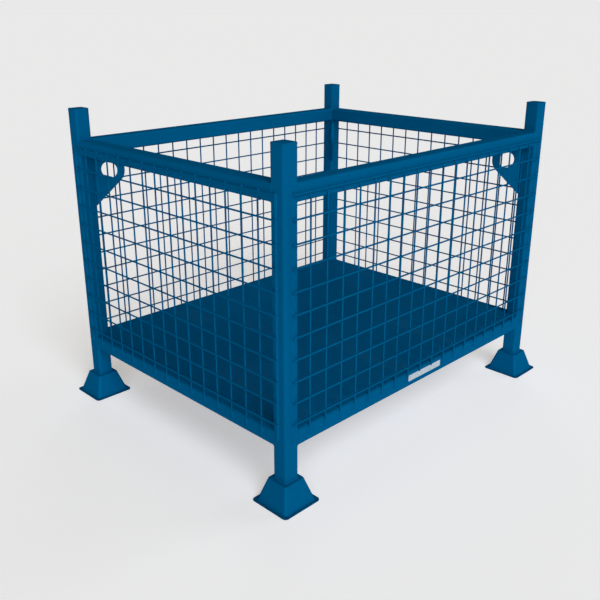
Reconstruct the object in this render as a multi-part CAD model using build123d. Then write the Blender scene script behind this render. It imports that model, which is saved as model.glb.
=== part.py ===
from build123d import *
import math
import os

# Stackable wire mesh container (a mesh-sided stillage) in welded, painted steel.
#
# Units are millimetres. +Z is up, +X runs along the long side and -Y faces the front.
# The origin lies on the ground, midway between the four feet. Every sub-part is written
# to parts/NAME.step as its own solid or group of separate solids.

# ---- driving dimensions ------------------------------------------------------------
LENGTH = 1500.0            # over the outer faces of the posts, along X
WIDTH = 1200.0             # over the outer faces of the posts, along Y
HEIGHT = 1205.0            # ground to the top of the post caps

TUBE = 60.0                # square tube used for the posts and rails
TUBE_RADIUS = 9.0          # outer corner radius of that tube
TUBE_WALL = 4.0

BASE_RAIL_BOTTOM = 209.0   # clear height for fork tines below the frame
TOP_RAIL_TOP = 1087.0      # the posts stand above this as stacking stubs

CAP_THICKNESS = 5.0        # plate that closes each post
CAP_EDGE_RADIUS = 2.0

FOOT_HEIGHT = 88.0         # ground to the shoulder that carries the post
FOOT_SHOULDER = 88.0       # square side at the shoulder
FOOT_MOUTH = 146.0         # square side of the pyramid at the ground
FOOT_LIP = 166.0           # square side over the flat lip round the mouth
FOOT_WALL = 4.0
FOOT_LIP_RADIUS = 14.0     # corner radii of the pressed steel
FOOT_MOUTH_RADIUS = 13.0
FOOT_SHOULDER_RADIUS = 9.0
FOOT_SHOULDER_BEND = 3.0   # rounding where the pyramid turns in to the shoulder
FOOT_LIP_BEND = 6.0        # rounding where the pyramid turns out to the lip
FOOT_RIM_EDGE = 1.5        # rounded upper edge of the lip

FLOOR_THICKNESS = 3.0
FLOOR_LANDING = 20.0       # how far the floor sheet laps onto each base rail
FLOOR_CLEARANCE = 1.0      # gap between the notched floor corners and the posts

BEARER_TUBE = 40.0         # square tube of the cross bearers under the floor
BEARER_RADIUS = 5.0
BEARER_WALL = 3.0
BEARER_SPACING = 375.0

WIRE = 6.0                 # mesh wire diameter
MESH_PITCH = 75.4          # wire spacing, both ways
LONG_SIDE_UPRIGHTS = 20
SHORT_SIDE_UPRIGHTS = 16
CROSSWIRES = 11
TOP_CROSSWIRE_HEIGHT = 1054.5
WIRE_OVERHANG = 5.0        # how far a wire end passes the last wire that it crosses
UPRIGHT_FOOT_HEIGHT = 240.0

EYE_THICKNESS = 10.0       # lifting eye plate, standing on the corner's diagonal
EYE_HOLE_RADIUS = 32.5
EYE_HOLE_REACH = 100.0     # from the post's centre line to the hole
EYE_HOLE_HEIGHT = 965.0
EYE_NOSE_RADIUS = 60.0     # plate edge, concentric with the hole
EYE_SLOPE = 45.0           # degrees, of the plate's lower edge

TOLERANCE = 0.01           # two heights closer than this are the same

# ---- dimensions worked out from those above ----------------------------------------
POST_X = LENGTH / 2 - TUBE / 2
POST_Y = WIDTH / 2 - TUBE / 2
RAIL_LENGTH_X = LENGTH - 2 * TUBE
RAIL_LENGTH_Y = WIDTH - 2 * TUBE
BASE_RAIL_TOP = BASE_RAIL_BOTTOM + TUBE
TOP_RAIL_BOTTOM = TOP_RAIL_TOP - TUBE
LOWEST_CROSSWIRE_HEIGHT = TOP_CROSSWIRE_HEIGHT - (CROSSWIRES - 1) * MESH_PITCH

CORNERS = {
    "front_left": (-1, -1),
    "front_right": (1, -1),
    "back_left": (-1, 1),
    "back_right": (1, 1),
}


# ---- shapes ------------------------------------------------------------------------
def tube_section(side, radius, wall):
    """Cross-section of a square hollow tube, centred on the origin."""
    inside = side - 2 * wall
    return RectangleRounded(side, side, radius) - RectangleRounded(inside, inside, radius - wall)


def tube_along_x(length, side=TUBE, radius=TUBE_RADIUS, wall=TUBE_WALL):
    """Square tube lying along X, centred on the origin."""
    upright = extrude(tube_section(side, radius, wall), length / 2, both=True)
    return Rot(0, 90, 0) * upright


def tube_along_y(length, side=TUBE, radius=TUBE_RADIUS, wall=TUBE_WALL):
    """Square tube lying along Y, centred on the origin."""
    return Rot(0, 0, 90) * tube_along_x(length, side, radius, wall)


def post():
    """Corner post: a tube from the foot's shoulder to the underside of its cap."""
    length = HEIGHT - CAP_THICKNESS - FOOT_HEIGHT
    return Pos(0, 0, FOOT_HEIGHT) * extrude(tube_section(TUBE, TUBE_RADIUS, TUBE_WALL), length)


def post_cap():
    """Plate that closes the post, with its top edge rounded over."""
    plate = extrude(RectangleRounded(TUBE, TUBE, TUBE_RADIUS), CAP_THICKNESS)
    top_edges = plate.faces().sort_by(Axis.Z)[-1].edges()
    return Pos(0, 0, HEIGHT - CAP_THICKNESS) * fillet(top_edges, CAP_EDGE_RADIUS)


def pyramid(mouth, mouth_radius, shoulder, shoulder_radius, height):
    """Four-sided taper with rounded corners, from the mouth up to the shoulder."""
    lower = RectangleRounded(mouth, mouth, mouth_radius)
    upper = Pos(0, 0, height) * RectangleRounded(shoulder, shoulder, shoulder_radius)
    return loft([lower, upper], ruled=True)


def reach(edge):
    """Largest distance of an edge from the Z axis, measured along X or Y."""
    box = edge.bounding_box()
    return max(box.max.X, box.max.Y, -box.min.X, -box.min.Y)


def lip_edges(shape, low, high):
    """Edges on top of the foot's lip whose reach lies between two distances."""
    on_top = [edge for edge in shape.edges() if abs(edge.center().Z - FOOT_WALL) < TOLERANCE]
    return [edge for edge in on_top if low < reach(edge) < high]


def stacking_foot():
    """Pressed cup that spreads the load and seats on the post top of the container below."""
    middle_of_lip = (FOOT_MOUTH + FOOT_LIP) / 4
    outside = pyramid(FOOT_MOUTH, FOOT_MOUTH_RADIUS, FOOT_SHOULDER, FOOT_SHOULDER_RADIUS, FOOT_HEIGHT)
    outside += extrude(RectangleRounded(FOOT_LIP, FOOT_LIP, FOOT_LIP_RADIUS), FOOT_WALL)
    outside = fillet(outside.edges().group_by(Axis.Z)[-1], FOOT_SHOULDER_BEND)
    outside = fillet(lip_edges(outside, 0, middle_of_lip), FOOT_LIP_BEND)
    outside = fillet(lip_edges(outside, middle_of_lip, FOOT_LIP), FOOT_RIM_EDGE)
    inside = pyramid(
        FOOT_MOUTH - 2 * FOOT_WALL,
        FOOT_MOUTH_RADIUS - FOOT_WALL,
        FOOT_SHOULDER - 2 * FOOT_WALL,
        FOOT_SHOULDER_RADIUS - FOOT_WALL,
        FOOT_HEIGHT - FOOT_WALL,
    )
    return outside - inside


def lifting_eye():
    """Plate for a crane hook or shackle, drawn in XZ with the post's centre line at x = 0.

    A nose concentric with the hole runs up to the rail and down a sloping edge to the post.
    """
    slope = math.radians(EYE_SLOPE)
    turn = math.radians(90 - EYE_SLOPE)
    root = (TUBE / 2 - TUBE_RADIUS) * math.sqrt(2) + TUBE_RADIUS
    nose_x = EYE_HOLE_REACH + EYE_NOSE_RADIUS
    mid_x = EYE_HOLE_REACH + EYE_NOSE_RADIUS * math.cos(turn / 2)
    mid_z = EYE_HOLE_HEIGHT - EYE_NOSE_RADIUS * math.sin(turn / 2)
    tangent_x = EYE_HOLE_REACH + EYE_NOSE_RADIUS * math.cos(turn)
    tangent_z = EYE_HOLE_HEIGHT - EYE_NOSE_RADIUS * math.sin(turn)
    root_z = tangent_z - (tangent_x - root) * math.tan(slope)
    outline = [
        Line((root, TOP_RAIL_BOTTOM), (nose_x, TOP_RAIL_BOTTOM)),
        Line((nose_x, TOP_RAIL_BOTTOM), (nose_x, EYE_HOLE_HEIGHT)),
        ThreePointArc((nose_x, EYE_HOLE_HEIGHT), (mid_x, mid_z), (tangent_x, tangent_z)),
        Line((tangent_x, tangent_z), (root, root_z)),
        Line((root, root_z), (root, TOP_RAIL_BOTTOM)),
    ]
    face = make_face(Wire(outline)) - Pos(EYE_HOLE_REACH, EYE_HOLE_HEIGHT) * Circle(EYE_HOLE_RADIUS)
    return extrude(Rot(90, 0, 0) * face, EYE_THICKNESS / 2, both=True)


def floor_plate():
    """Sheet laid on the base rails, notched round the four posts."""
    length = LENGTH - 2 * (TUBE - FLOOR_LANDING)
    width = WIDTH - 2 * (TUBE - FLOOR_LANDING)
    notch = FLOOR_LANDING + FLOOR_CLEARANCE
    sheet = Rectangle(length, width)
    for side_x, side_y in CORNERS.values():
        corner = Pos(side_x * (length - notch) / 2, side_y * (width - notch) / 2)
        sheet -= corner * Rectangle(notch, notch)
    return Pos(0, 0, BASE_RAIL_TOP) * extrude(sheet, FLOOR_THICKNESS)


def upright_wires(count):
    """Upright wires of one mesh panel, standing in the plane y = 0 and spaced along X."""
    length = TOP_CROSSWIRE_HEIGHT + WIRE_OVERHANG - UPRIGHT_FOOT_HEIGHT
    wire = extrude(Circle(WIRE / 2), length)
    first = -(count - 1) * MESH_PITCH / 2
    return [Pos(first + i * MESH_PITCH, 0, UPRIGHT_FOOT_HEIGHT) * wire for i in range(count)]


def cross_wires(upright_count):
    """Level wires of one mesh panel, lying along X in the plane y = 0."""
    length = (upright_count - 1) * MESH_PITCH + 2 * WIRE_OVERHANG
    wire = Rot(0, 90, 0) * extrude(Circle(WIRE / 2), length / 2, both=True)
    return [Pos(0, 0, LOWEST_CROSSWIRE_HEIGHT + i * MESH_PITCH) * wire for i in range(CROSSWIRES)]


# ---- assembly ----------------------------------------------------------------------
def write_part(name, shape):
    """Write one sub-part under its own name."""
    shape.label = name
    export_step(shape, f"parts/{name}.step")


def write_corners():
    """Post, cap, foot and lifting eye at each corner."""
    shapes = {"post": post(), "post_cap": post_cap(), "foot": stacking_foot()}
    eye = lifting_eye()
    for corner, (side_x, side_y) in CORNERS.items():
        place = Pos(side_x * POST_X, side_y * POST_Y)
        for name, shape in shapes.items():
            write_part(f"{name}_{corner}", place * shape)
        inward = math.degrees(math.atan2(-side_y, -side_x))
        write_part(f"lifting_eye_{corner}", place * Rot(0, 0, inward) * eye)


def write_rails():
    """Top and base rails, butted between the posts and flush with their outer faces."""
    for level, middle in (("base", BASE_RAIL_BOTTOM + TUBE / 2), ("top", TOP_RAIL_TOP - TUBE / 2)):
        write_part(f"{level}_rail_front", Pos(0, -POST_Y, middle) * tube_along_x(RAIL_LENGTH_X))
        write_part(f"{level}_rail_back", Pos(0, POST_Y, middle) * tube_along_x(RAIL_LENGTH_X))
        write_part(f"{level}_rail_left", Pos(-POST_X, 0, middle) * tube_along_y(RAIL_LENGTH_Y))
        write_part(f"{level}_rail_right", Pos(POST_X, 0, middle) * tube_along_y(RAIL_LENGTH_Y))


def write_floor():
    """Floor sheet and the bearers that carry it between the front and back rails."""
    write_part("floor_plate", floor_plate())
    bearer = tube_along_y(RAIL_LENGTH_Y, BEARER_TUBE, BEARER_RADIUS, BEARER_WALL)
    height = BASE_RAIL_TOP - BEARER_TUBE / 2
    for name, offset in (("left", -BEARER_SPACING), ("middle", 0.0), ("right", BEARER_SPACING)):
        write_part(f"floor_bearer_{name}", Pos(offset, 0, height) * bearer)


def write_mesh():
    """Four welded mesh panels: uprights against the frame, crosswires outside them."""
    panels = {
        "front": (LONG_SIDE_UPRIGHTS, WIDTH / 2, 0),
        "right": (SHORT_SIDE_UPRIGHTS, LENGTH / 2, 90),
        "back": (LONG_SIDE_UPRIGHTS, WIDTH / 2, 180),
        "left": (SHORT_SIDE_UPRIGHTS, LENGTH / 2, 270),
    }
    for side, (count, reach, turn) in panels.items():
        upright_layer = -reach - WIRE / 2
        cross_layer = upright_layer - WIRE
        uprights = [Pos(0, upright_layer) * wire for wire in upright_wires(count)]
        crosses = [Pos(0, cross_layer) * wire for wire in cross_wires(count)]
        write_part(f"mesh_uprights_{side}", Rot(0, 0, turn) * Compound(children=uprights))
        write_part(f"mesh_crosswires_{side}", Rot(0, 0, turn) * Compound(children=crosses))


os.makedirs("parts", exist_ok=True)
write_corners()
write_rails()
write_floor()
write_mesh()
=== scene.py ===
from math import cos, pi, radians, sin

import bmesh
import bpy
from mathutils import Matrix, Vector, noise


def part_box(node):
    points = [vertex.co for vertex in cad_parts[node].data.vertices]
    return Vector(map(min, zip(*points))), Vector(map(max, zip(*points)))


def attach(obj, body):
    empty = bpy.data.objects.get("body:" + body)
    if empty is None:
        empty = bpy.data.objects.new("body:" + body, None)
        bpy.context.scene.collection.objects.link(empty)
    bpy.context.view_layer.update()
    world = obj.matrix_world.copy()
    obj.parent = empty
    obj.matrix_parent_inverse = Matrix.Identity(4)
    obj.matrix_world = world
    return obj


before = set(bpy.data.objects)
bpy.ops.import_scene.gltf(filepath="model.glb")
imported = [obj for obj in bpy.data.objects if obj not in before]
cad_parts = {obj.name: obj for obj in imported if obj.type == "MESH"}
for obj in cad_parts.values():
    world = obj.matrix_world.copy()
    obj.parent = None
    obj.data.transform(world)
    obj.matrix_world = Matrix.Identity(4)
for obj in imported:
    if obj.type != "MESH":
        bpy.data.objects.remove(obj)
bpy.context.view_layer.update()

scene = bpy.context.scene
scene.view_settings.view_transform = "Standard"

# corner name: which way it lies along X and along Y
CORNERS = {
    "front_left": (-1, -1),
    "front_right": (1, -1),
    "back_left": (-1, 1),
    "back_right": (1, 1),
}
# side name: outward direction of that face of the container
SIDES = {"front": (0, -1), "right": (1, 0), "back": (0, 1), "left": (-1, 0)}

# ---- camera ------------------------------------------------------------------------
CAMERA_PLACE = (-2.2338, -2.1456, 1.5530)
CAMERA_YAW = 45.013        # degrees from +X towards +Y
CAMERA_PITCH = -19.586
CAMERA_LENS = 45.78
CAMERA_SHIFT = (0.0019, -0.0278)
SENSOR_WIDTH = 36.0
NEAREST_SEEN = 0.05
FARTHEST_SEEN = 2000.0


def make_camera():
    data = bpy.data.cameras.new("camera")
    data.lens = CAMERA_LENS
    data.sensor_width = SENSOR_WIDTH
    data.shift_x, data.shift_y = CAMERA_SHIFT
    data.clip_start = NEAREST_SEEN
    data.clip_end = FARTHEST_SEEN
    camera = bpy.data.objects.new("camera", data)
    camera.location = CAMERA_PLACE
    camera.rotation_euler = (radians(90 + CAMERA_PITCH), 0.0, radians(CAMERA_YAW - 90))
    scene.collection.objects.link(camera)
    scene.camera = camera


make_camera()


# ---- node helpers ------------------------------------------------------------------
BEVEL_SAMPLES = 4
EDGE_TURN = (0.985, 0.86)  # cosines of the turn where an edge starts to show, and is sharp


class Graph:
    """A node tree with short calls for the nodes used below."""

    def __init__(self, tree):
        self.tree = tree
        tree.nodes.clear()

    def add(self, kind, settings=None, **inputs):
        node = self.tree.nodes.new(kind)
        for name, value in (settings or {}).items():
            setattr(node, name, value)
        for name, value in inputs.items():
            self.set(node, name.replace("_", " "), value)
        return node

    def set(self, node, name, value):
        socket = node.inputs[int(name)] if name.isdigit() else node.inputs[name]
        if isinstance(value, bpy.types.NodeSocket):
            self.tree.links.new(value, socket)
        else:
            socket.default_value = value

    def math(self, operation, a, b=0.0, clamp=False):
        node = self.add("ShaderNodeMath", {"operation": operation, "use_clamp": clamp})
        self.set(node, "0", a)
        self.set(node, "1", b)
        return node.outputs[0]

    def noise(self, where, scale, detail=2.0, roughness=0.5):
        sizes = {"Scale": scale, "Detail": detail, "Roughness": roughness}
        return self.add("ShaderNodeTexNoise", Vector=where, **sizes).outputs["Fac"]

    def stretch(self, where, scale):
        return self.add("ShaderNodeMapping", Vector=where, Scale=scale).outputs[0]

    def ramp(self, value, low, high, to_low=0.0, to_high=1.0):
        node = self.add("ShaderNodeMapRange", {"clamp": True}, Value=value)
        self.set(node, "From Min", low)
        self.set(node, "From Max", high)
        self.set(node, "To Min", to_low)
        self.set(node, "To Max", to_high)
        return node.outputs["Result"]

    def mix(self, share, a, b):
        node = self.add("ShaderNodeMix", {"data_type": "RGBA"})
        self.set(node, "0", share)
        self.set(node, "6", a)
        self.set(node, "7", b)
        return node.outputs[2]

    def edges(self, width):
        """1 along sharp edges, fading to 0 at that distance from them."""
        rounded = self.add("ShaderNodeBevel", {"samples": BEVEL_SAMPLES}, Radius=width)
        plain = self.add("ShaderNodeNewGeometry")
        dot = self.add("ShaderNodeVectorMath", {"operation": "DOT_PRODUCT"})
        self.set(dot, "0", rounded.outputs[0])
        self.set(dot, "1", plain.outputs["Normal"])
        return self.ramp(dot.outputs["Value"], *EDGE_TURN)


# ---- light and floor ---------------------------------------------------------------
DOME_LIGHT = 0.02
BACKDROP = 0.815
FLOOR_ALBEDO = (0.80, 0.86, 0.95, 1.0)     # leans blue and its glow leans warm, so that
FLOOR_GLOW = (0.428, 0.398, 0.353, 1.0)    # blue light off the paint leaves the shadow grey
GLOW_ON_OBJECT = 0.58      # share of that glow that lights the container
FLOOR_REACH = 400.0
# name, strength, degrees round from the front towards the right, degrees above the ground
LAMPS = (
    ("key", 1.06, -20.0, 45.0),
    ("low_key", 0.50, -20.0, 20.0),
    ("left_fill", 0.70, -50.0, 20.0),
    ("right_fill", 0.45, 70.0, 20.0),
    ("back", 0.24, 130.0, 40.0),
)
LAMP_ANGLE = 30.0          # degrees of the sky that each lamp fills


def make_world():
    world = bpy.data.worlds.new("studio")
    world.use_nodes = True
    scene.world = world
    g = Graph(world.node_tree)
    lit = g.add("ShaderNodeBackground", Color=(1, 1, 1, 1), Strength=DOME_LIGHT)
    seen = g.add("ShaderNodeBackground", Color=(1, 1, 1, 1), Strength=BACKDROP)
    from_camera = g.add("ShaderNodeLightPath").outputs["Is Camera Ray"]
    mix = g.add("ShaderNodeMixShader")
    g.set(mix, "0", from_camera)
    g.set(mix, "1", lit.outputs[0])
    g.set(mix, "2", seen.outputs[0])
    g.add("ShaderNodeOutputWorld", Surface=mix.outputs[0])


def make_lamp(name, strength, around, height):
    """Large soft lamp, far away."""
    data = bpy.data.lights.new(name, "SUN")
    data.energy = strength
    data.angle = radians(LAMP_ANGLE)
    lamp = bpy.data.objects.new(name, data)
    lamp.rotation_euler = (radians(90 - height), 0.0, radians(around))
    scene.collection.objects.link(lamp)


def make_floor():
    half = FLOOR_REACH
    mesh = bpy.data.meshes.new("studio_floor")
    corners = [(-half, -half, 0), (half, -half, 0), (half, half, 0), (-half, half, 0)]
    mesh.from_pydata(corners, [], [(0, 1, 2, 3)])
    floor = bpy.data.objects.new("studio_floor", mesh)
    scene.collection.objects.link(floor)
    material = bpy.data.materials.new("studio_floor")
    material.use_nodes = True
    g = Graph(material.node_tree)
    matt = g.add("ShaderNodeBsdfDiffuse", Color=FLOOR_ALBEDO)
    from_camera = g.add("ShaderNodeLightPath").outputs["Is Camera Ray"]
    strength = g.ramp(from_camera, 0.0, 1.0, GLOW_ON_OBJECT, 1.0)
    glow = g.add("ShaderNodeEmission", Color=FLOOR_GLOW, Strength=strength)
    both = g.add("ShaderNodeAddShader")
    g.set(both, "0", matt.outputs[0])
    g.set(both, "1", glow.outputs[0])
    g.add("ShaderNodeOutputMaterial", Surface=both.outputs[0])
    mesh.materials.append(material)


make_world()
make_floor()
for lamp in LAMPS:
    make_lamp(*lamp)

# ---- paint -------------------------------------------------------------------------
BLUE = (0.0, 0.118, 0.286)
RUBBED = (0.020, 0.185, 0.400)     # the same paint polished thin along an edge
DUST = (0.050, 0.145, 0.240)
# colour of the painted contact shade on the feet's rim
CONTACT_SHADE = (0.002, 0.022, 0.050)
CONTACT_SHADE_HEIGHT = 0.0048              # painted contact shade: the feet's rim is painted dark below this height, where they meet the ground
BAND_WHITE = (0.58, 0.66, 0.72)

BAND_LENGTH = 0.204                # blank stencilled band on the front base rail
BAND_HEIGHT = 0.026
BAND_ABOVE_MIDDLE = 0.005
BAND_EDGE = 0.001                  # width over which its edge fades
BAND_RAGGED = 0.0008               # how far that edge wanders
BAND_THINNEST = 0.55               # how much white is left where it is worn most


EDGE_RUB = 0.8             # how far rubbing lightens an edge
EDGE_POLISH = 0.12         # and how much smoother it makes it
CONTACT_SHADE_STRENGTH = 0.6
CONTACT_SHADE_RAGGED = 0.0015      # how far its upper edge wanders up and down
GLOSS_SPREAD = 0.06
ORANGE_PEEL = (0.15, 0.0004)       # strength and depth of the bumps
METALLIC = 0.12
SHEEN_TINT = (0.25, 0.7, 1.0, 1.0)

# how fine each pattern is, in waves per metre
TONE_BROAD = 3.0
TONE_FINE = 45.0
RUB_WAVES = 30.0
CONTACT_SHADE_WAVES = 90.0
DUST_WAVES = 7.0
GLOSS_WAVES = 18.0
PEEL_WAVES = 380.0
BAND_EDGE_WAVES = 160.0
BAND_WEAR_WAVES = 70.0


def shade(colour, factor=1.0):
    return tuple(c * factor for c in colour) + (1.0,)


def worn_and_shaded_paint(name, roughness, mottle, edge_width, grain=(1, 1, 1), dust=0.0, band=None):
    """Satin powder coat: tone and gloss wander, edges are rubbed, the skin is orange peel, and
    painted shade darkens the rim where the feet meet the ground.
    """
    material = bpy.data.materials.new(name)
    material.use_nodes = True
    g = Graph(material.node_tree)
    where = g.add("ShaderNodeTexCoord").outputs["Object"]
    along = g.stretch(where, grain)
    broad = g.noise(along, TONE_BROAD, 3.0)
    fine = g.noise(along, TONE_FINE, 4.0)
    tone = g.math("ADD", g.math("MULTIPLY", broad, 0.6), g.math("MULTIPLY", fine, 0.4))
    base = g.mix(g.ramp(tone, 0.3, 0.7), shade(BLUE, 1 - mottle), shade(BLUE, 1 + mottle))

    patchy = g.ramp(g.noise(where, RUB_WAVES, 5.0, 0.7), 0.35, 0.62)
    rub = g.math("MULTIPLY", g.edges(edge_width), patchy)
    base = g.mix(g.math("MULTIPLY", rub, EDGE_RUB), base, shade(RUBBED))

    # painted shade: the paint turns dark in the last few millimetres above the ground, as contact
    # shade where the feet stand
    height = g.add("ShaderNodeSeparateXYZ", Vector=where).outputs[2]
    raggedness = g.ramp(g.noise(where, CONTACT_SHADE_WAVES, 4.0, 0.7), 0.3, 0.7, -CONTACT_SHADE_RAGGED, CONTACT_SHADE_RAGGED)
    ragged = g.math("ADD", height, raggedness)
    painted_shade = g.ramp(ragged, CONTACT_SHADE_HEIGHT, CONTACT_SHADE_HEIGHT / 2, 0.0, CONTACT_SHADE_STRENGTH)
    base = g.mix(painted_shade, base, shade(CONTACT_SHADE))
    if dust:
        settled = g.ramp(g.noise(along, DUST_WAVES, 6.0, 0.65), 0.5, 0.78, 0.0, dust)
        base = g.mix(settled, base, shade(DUST))
    if band:
        base = g.mix(band_mask(g, where, band), base, shade(BAND_WHITE))

    low, high = roughness - GLOSS_SPREAD, roughness + GLOSS_SPREAD
    gloss = g.ramp(g.noise(along, GLOSS_WAVES, 3.0), 0.3, 0.7, low, high)
    gloss = g.math("SUBTRACT", gloss, g.math("MULTIPLY", rub, EDGE_POLISH))
    strength, depth = ORANGE_PEEL
    bumps = g.noise(where, PEEL_WAVES, 2.0)
    peel = g.add("ShaderNodeBump", Strength=strength, Distance=depth, Height=bumps)
    skin = g.add(
        "ShaderNodeBsdfPrincipled",
        Base_Color=base,
        Metallic=METALLIC,
        Roughness=gloss,
        Normal=peel.outputs[0],
        Specular_IOR_Level=0.0,
        Specular_Tint=SHEEN_TINT,
    )
    g.add("ShaderNodeOutputMaterial", Surface=skin.outputs[0])
    return material


def band_mask(g, where, rail):
    """1 inside the blank band on a rail's outer face, with the rough edges of a stencil."""
    low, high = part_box(rail)
    middle_x = (low[0] + high[0]) / 2
    middle_z = (low[2] + high[2]) / 2 + BAND_ABOVE_MIDDLE
    split = g.add("ShaderNodeSeparateXYZ", Vector=where).outputs
    across = g.math("ABSOLUTE", g.math("SUBTRACT", split[0], middle_x))
    up = g.math("ABSOLUTE", g.math("SUBTRACT", split[2], middle_z))
    edge_noise = g.noise(where, BAND_EDGE_WAVES, 4.0, 0.7)
    ragged = g.ramp(edge_noise, 0.3, 0.7, -BAND_RAGGED, BAND_RAGGED)
    inside_x = g.ramp(g.math("ADD", across, ragged), BAND_LENGTH / 2, BAND_LENGTH / 2 - BAND_EDGE)
    inside_z = g.ramp(g.math("ADD", up, ragged), BAND_HEIGHT / 2, BAND_HEIGHT / 2 - BAND_EDGE)
    outer = g.ramp(split[1], low[1] + 2 * BAND_EDGE, low[1] + BAND_EDGE)
    worn = g.ramp(g.noise(where, BAND_WEAR_WAVES, 6.0, 0.75), 0.30, 0.48, BAND_THINNEST, 1.0)
    mask = g.math("MULTIPLY", g.math("MULTIPLY", inside_x, inside_z), outer)
    return g.math("MULTIPLY", mask, worn)


# roughness, how much the tone varies, width of a rubbed edge
FRAME_COAT = (0.42, 0.06, 0.0025)
WIRE_COAT = (0.38, 0.08, 0.0010)
FLOOR_COAT = (0.48, 0.07, 0.0020)
FLOOR_GRAIN = (1.0, 0.25, 1.0)     # loads slide in and out along Y
FLOOR_DUST = 0.25
BAND_RAIL = "base_rail_front"

PAINTS = {
    "frame": worn_and_shaded_paint("frame_paint", *FRAME_COAT),
    "mesh_wire": worn_and_shaded_paint("mesh_wire_paint", *WIRE_COAT),
    "floor_sheet": worn_and_shaded_paint("floor_sheet_paint", *FLOOR_COAT, FLOOR_GRAIN, FLOOR_DUST),
    "stencilled_frame": worn_and_shaded_paint("stencilled_frame_paint", *FRAME_COAT, band=BAND_RAIL),
    "stencilled_wire": worn_and_shaded_paint("stencilled_wire_paint", *WIRE_COAT, band=BAND_RAIL),
}


def paint_nodes():
    for name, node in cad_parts.items():
        paint = "frame"
        if name.startswith("mesh_"):
            paint = "mesh_wire"
        if name == "floor_plate":
            paint = "floor_sheet"
        if name == BAND_RAIL:
            paint = "stencilled_frame"
        if name == "mesh_uprights_front":
            paint = "stencilled_wire"
        node.data.materials.clear()
        node.data.materials.append(PAINTS[paint])


paint_nodes()

# ---- weld beads in mesh code -------------------------------------------------------
TUBE_RADIUS = 0.009        # corner radius of the posts and rails
BEARER_RADIUS = 0.005
WIRE = 0.006
MESH_PITCH = 0.0754

BEAD_SIDES = 8
BEAD_STEP = 0.001
RIPPLE_PITCH = 0.0042      # one ripple for each pause of the welder's hand
RIPPLE_HEIGHT = 0.05
BEAD_WANDER = 0.10
WANDER_WAVES = 70
BEAD_ENDS = 3              # rings over which an open bead tapers off at each end
BLUNT_END = 0.35           # share of a ring's spacing that stays blunt at the very end

JOINT_BEAD = 0.0034        # bead radii
FOOT_BEAD = 0.0042
EYE_BEAD = 0.0040
CAP_BEAD = 0.0011
BEARER_BEAD = 0.0030
STITCH_BEAD = 0.0026
STITCH_LENGTH = 0.040
STITCH_SPACING = 0.190


def skin(bm, rings, closed=False):
    """Surface through rings of equal length, capped at both ends unless it closes on itself."""
    loops = [[bm.verts.new(point) for point in ring] for ring in rings]
    following = loops[1:] + loops[:1] if closed else loops[1:]
    for one, two in zip(loops, following):
        for i in range(len(one)):
            j = (i + 1) % len(one)
            bm.faces.new((one[i], one[j], two[j], two[i]))
    if not closed:
        bm.faces.new(loops[0][::-1])
        bm.faces.new(loops[-1])


def taper(i, count, length):
    """Rounds off the first and last few rings of an open bead."""
    nearest = min(i, count - 1 - i)
    return sin(pi / 2 * min(1.0, (nearest + BLUNT_END) / length))


def bead(bm, path, radius, closed=False, step=BEAD_STEP):
    """Round weld bead along a path, rippled as it was laid and never quite even."""
    count = len(path)
    radii = radius if isinstance(radius, list) else [radius] * count
    side = None
    rings = []
    for i, point in enumerate(path):
        before = path[i - 1] if closed or i else point
        after = path[(i + 1) % count] if closed or i < count - 1 else point
        along = (after - before).normalized()
        side = along.orthogonal() if side is None else side
        side = (side - along * side.dot(along)).normalized()
        other = along.cross(side)
        ripple = 1 + RIPPLE_HEIGHT * sin(2 * pi * i * step / RIPPLE_PITCH)
        wander = 1 + BEAD_WANDER * noise.noise(point * WANDER_WAVES)
        size = radii[i] * ripple * wander * (1.0 if closed else taper(i, count, BEAD_ENDS))
        angles = [2 * pi * k / BEAD_SIDES for k in range(BEAD_SIDES)]
        rings.append([point + (side * cos(a) + other * sin(a)) * size for a in angles])
    skin(bm, rings, closed)


def straight(start, end, step=BEAD_STEP):
    start, end = Vector(start), Vector(end)
    count = max(2, round((end - start).length / step))
    return [start.lerp(end, i / count) for i in range(count + 1)]


def rounded_square(side, radius, step=BEAD_STEP):
    """Evenly spaced points round a square with rounded corners, each with its outward normal."""
    flat = side / 2 - radius
    runs = max(1, round(2 * flat / step))
    turns = max(2, round(pi / 2 * radius / step))
    points = []
    for quarter in range(4):
        turn = Matrix.Rotation(quarter * pi / 2, 2)
        for i in range(runs):
            normal = Vector((1, 0))
            points.append((turn @ Vector((side / 2, -flat + 2 * flat * i / runs)), turn @ normal))
        for i in range(turns):
            angle = pi / 2 * i / turns
            normal = Vector((cos(angle), sin(angle)))
            points.append((turn @ (Vector((flat, flat)) + normal * radius), turn @ normal))
    return points


def finish_piece(name, bm, slot, paint=None):
    """Turn the mesh into a smooth, painted piece of the container."""
    bmesh.ops.recalc_face_normals(bm, faces=bm.faces)
    mesh = bpy.data.meshes.new(name)
    bm.to_mesh(mesh)
    bm.free()
    mesh.polygons.foreach_set("use_smooth", [True] * len(mesh.polygons))
    mesh.materials.append(PAINTS[paint or slot])
    piece = bpy.data.objects.new(name, mesh)
    scene.collection.objects.link(piece)
    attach(piece, "root")


def centre_and_size(node):
    low, high = (Vector(corner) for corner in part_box(node))
    return (low + high) / 2, high - low


# ---- frame welds -------------------------------------------------------------------
GROOVE_DEPTH = 0.0037      # how deep the bead lies in the groove beside a rounded post corner
GROOVE_FILL = 0.45         # how much fatter it is there
EYE_THICKNESS = 0.010
EYE_BEAD_SINK = 0.001      # how deep the bead's middle lies in the post
EYE_BEAD_OFFSET = 0.0015   # and how far out from the plate's face
EYE_BEAD_ENDS = (0.004, 0.003)     # gaps below and above it
BEAD_RISE = 0.0008         # level beads stand this much above the corner that they fill


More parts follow.
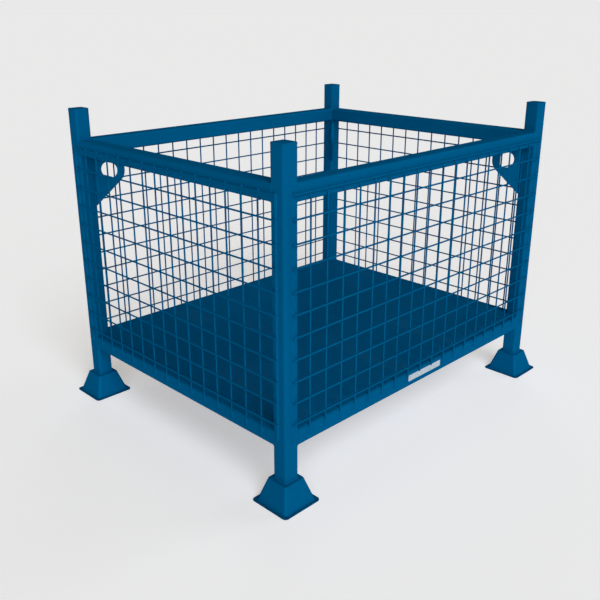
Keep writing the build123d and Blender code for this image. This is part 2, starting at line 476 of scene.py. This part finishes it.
def rail_joint(bm, rail, towards):
    """Weld all round a rail's end: fillets above and below, flush grooves inside and out."""
    middle, size = centre_and_size(rail)
    along_x = size.x > size.y
    end = (size.x if along_x else size.y) / 2 * towards
    path = []
    radii = []
    for point, normal in rounded_square(size.z, TUBE_RADIUS):
        groove = abs(normal.x)
        across, up = point - normal * GROOVE_DEPTH * groove
        reach = end + towards * GROOVE_DEPTH * groove
        offset = Vector((reach, across, up)) if along_x else Vector((across, reach, up))
        path.append(middle + offset)
        radii.append(JOINT_BEAD * (1 + GROOVE_FILL * groove))
    bead(bm, path, radii, closed=True)


def ring_weld(bm, node, radius, height):
    """Level weld round an upright tube."""
    middle, size = centre_and_size(node)
    outline = [p for p, normal in rounded_square(size.x, TUBE_RADIUS)]
    path = [Vector((middle.x + p.x, middle.y + p.y, height)) for p in outline]
    bead(bm, path, radius, closed=True)


def eye_welds(bm, corner):
    """One upright fillet on each face of the lifting eye, down to where its edge meets the post."""
    post_middle, post_size = centre_and_size(f"post_{corner}")
    low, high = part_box(f"lifting_eye_{corner}")
    side_x, side_y = CORNERS[corner]
    inward = Vector((-side_x, -side_y, 0)).normalized()
    sideways = Vector((-inward.y, inward.x, 0))
    flat = post_size.x / 2 - TUBE_RADIUS
    reach = flat * 2 ** 0.5 + TUBE_RADIUS - EYE_BEAD_SINK
    offset = EYE_THICKNESS / 2 + EYE_BEAD_OFFSET
    for face in (-1, 1):
        root = inward * reach + sideways * face * offset
        base = Vector((post_middle.x, post_middle.y, 0)) + root
        start = base + Vector((0, 0, low[2] + EYE_BEAD_ENDS[0]))
        end = base + Vector((0, 0, high[2] - EYE_BEAD_ENDS[1]))
        bead(bm, straight(start, end), EYE_BEAD)


def weld_corners():
    for corner, (side_x, side_y) in CORNERS.items():
        end, flank = corner.split("_")
        bm = bmesh.new()
        for level in ("base", "top"):
            rail_joint(bm, f"{level}_rail_{end}", side_x)
            rail_joint(bm, f"{level}_rail_{flank}", side_y)
        finish_piece(f"rail_joint_welds_{corner}", bm, "frame")

        bm = bmesh.new()
        ring_weld(bm, f"post_{corner}", FOOT_BEAD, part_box(f"foot_{corner}")[1][2] + BEAD_RISE)
        finish_piece(f"foot_weld_{corner}", bm, "frame")

        bm = bmesh.new()
        ring_weld(bm, f"post_{corner}", CAP_BEAD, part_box(f"post_cap_{corner}")[0][2])
        finish_piece(f"cap_weld_{corner}", bm, "frame")

        bm = bmesh.new()
        eye_welds(bm, corner)
        finish_piece(f"lifting_eye_welds_{corner}", bm, "frame")


def weld_bearers():
    """Each bearer's end is welded to the base rail down both sides and underneath."""
    bm = bmesh.new()
    for name in ("left", "middle", "right"):
        middle, size = centre_and_size(f"floor_bearer_{name}")
        for towards in (-1, 1):
            outline = [p for p, normal in rounded_square(size.x, BEARER_RADIUS)]
            below = [p for p in outline if p.y < size.z / 2 - BEARER_RADIUS]
            gaps = [(p - below[i - 1]).length > 5 * BEAD_STEP for i, p in enumerate(below)]
            first = gaps.index(True, 1)
            path = below[first:] + below[:first]
            end = middle.y + towards * size.y / 2
            bead(bm, [Vector((middle.x + p.x, end, middle.z + p.y)) for p in path], BEARER_BEAD)
    finish_piece("floor_bearer_welds", bm, "frame")


def weld_floor():
    """Short stitches hold the edge of the floor sheet to the base rails."""
    middle, size = centre_and_size("floor_plate")
    height = middle.z - size.z / 2 + BEAD_RISE
    bm = bmesh.new()
    for out_x, out_y in SIDES.values():
        out = Vector((out_x, out_y, 0))
        run = Vector((-out_y, out_x, 0))
        length = abs(run.dot(size))
        edge = Vector((middle.x, middle.y, height)) + out * abs(out.dot(size)) / 2
        count = int(length / STITCH_SPACING)
        for i in range(count):
            place = edge + run * (i - (count - 1) / 2) * STITCH_SPACING
            half = run * STITCH_LENGTH / 2
            bead(bm, straight(place - half, place + half), STITCH_BEAD)
    finish_piece("floor_stitch_welds", bm, "frame")


weld_corners()
weld_bearers()
weld_floor()

# ---- mesh welds --------------------------------------------------------------------
NUGGET = (0.0027, 0.0013)          # half width and half thickness of the squeezed metal
NUGGET_SIDES = 8
NUGGET_RINGS = (-0.9, -0.45, 0.0, 0.45, 0.9)
NUGGET_SPREAD = (0.15, 90)         # how much its width varies, and the waves per metre
# one side of the wire's fillet: distance from the wire's line and from the frame's face
FILLET_SECTION = (
    (0.0010, 0.0002),
    (0.0027, 0.0042),
    (0.0036, 0.0018),
    (0.0048, 0.0006),
    (0.0068, -0.0002),
)
FILLET_STEP = 0.003
FILLET_SPREAD = (0.18, 60)
FILLET_OVERRUN = 0.002             # how far it runs past the end of the wire


def panel(side):
    """Middle of a panel's outer face of the frame, its outward and sideways directions."""
    out = Vector((*SIDES[side], 0))
    run = Vector((-out.y, out.x, 0))
    middle, size = centre_and_size(f"mesh_uprights_{side}")
    face = middle - out * WIRE / 2
    count = round((abs(run.dot(size)) - WIRE) / MESH_PITCH) + 1
    return face, out, run, count


def nugget(bm, place, out, run):
    """Metal squeezed out between two wires where they were spot welded."""
    rings = []
    for level in NUGGET_RINGS:
        uneven = 1 + NUGGET_SPREAD[0] * noise.noise(place * NUGGET_SPREAD[1])
        width = NUGGET[0] * (1 - level * level) ** 0.5 * uneven
        ring = []
        for k in range(NUGGET_SIDES):
            angle = 2 * pi * k / NUGGET_SIDES
            spread = run * cos(angle) + Vector((0, 0, sin(angle)))
            ring.append(place + out * NUGGET[1] * level + spread * width)
        rings.append(ring)
    skin(bm, rings)


def wire_fillet(bm, foot, out, run, low, high):
    """Weld and paint that fill the crease between an upright wire and the face it lies on."""
    count = max(4, round((high - low) / FILLET_STEP))
    for hand in (-1, 1):
        rings = []
        for i in range(count + 1):
            height = low + (high - low) * i / count
            at = Vector((foot.x, foot.y, height))
            uneven = 1 + FILLET_SPREAD[0] * noise.noise(at * FILLET_SPREAD[1] + run * hand)
            size = taper(i, count + 1, BEAD_ENDS) * uneven
            inner = FILLET_SECTION[0]
            ring = []
            for across, outward in FILLET_SECTION:
                across = inner[0] + (across - inner[0]) * size
                outward = inner[1] + (outward - inner[1]) * size
                ring.append(at + run * hand * across + out * outward)
            rings.append(ring)
        skin(bm, rings)


def weld_mesh():
    for side in SIDES:
        face, out, run, count = panel(side)
        uprights = [face + run * MESH_PITCH * (i - (count - 1) / 2) for i in range(count)]
        wire_low, wire_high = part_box(f"mesh_uprights_{side}")
        cross_low, cross_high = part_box(f"mesh_crosswires_{side}")
        levels = round((cross_high[2] - cross_low[2] - WIRE) / MESH_PITCH) + 1
        lowest = cross_low[2] + WIRE / 2

        bm = bmesh.new()
        for foot in uprights:
            for i in range(levels):
                height = lowest + i * MESH_PITCH
                nugget(bm, Vector((foot.x, foot.y, height)) + out * WIRE, out, run)
        finish_piece(f"mesh_spot_welds_{side}", bm, "mesh_wire")

        lowest_weld = wire_low[2] - FILLET_OVERRUN
        highest_weld = wire_high[2] + FILLET_OVERRUN
        base_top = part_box(f"base_rail_{side}")[1][2] - TUBE_RADIUS
        top_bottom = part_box(f"top_rail_{side}")[0][2] + TUBE_RADIUS
        bm = bmesh.new()
        for foot in uprights[1:-1]:
            wire_fillet(bm, foot, out, run, lowest_weld, base_top)
            wire_fillet(bm, foot, out, run, top_bottom, highest_weld)
        for foot in (uprights[0], uprights[-1]):
            wire_fillet(bm, foot, out, run, lowest_weld, highest_weld)
        paint = "stencilled_wire" if side == "front" else "mesh_wire"
        finish_piece(f"mesh_frame_welds_{side}", bm, "mesh_wire", paint)


weld_mesh()
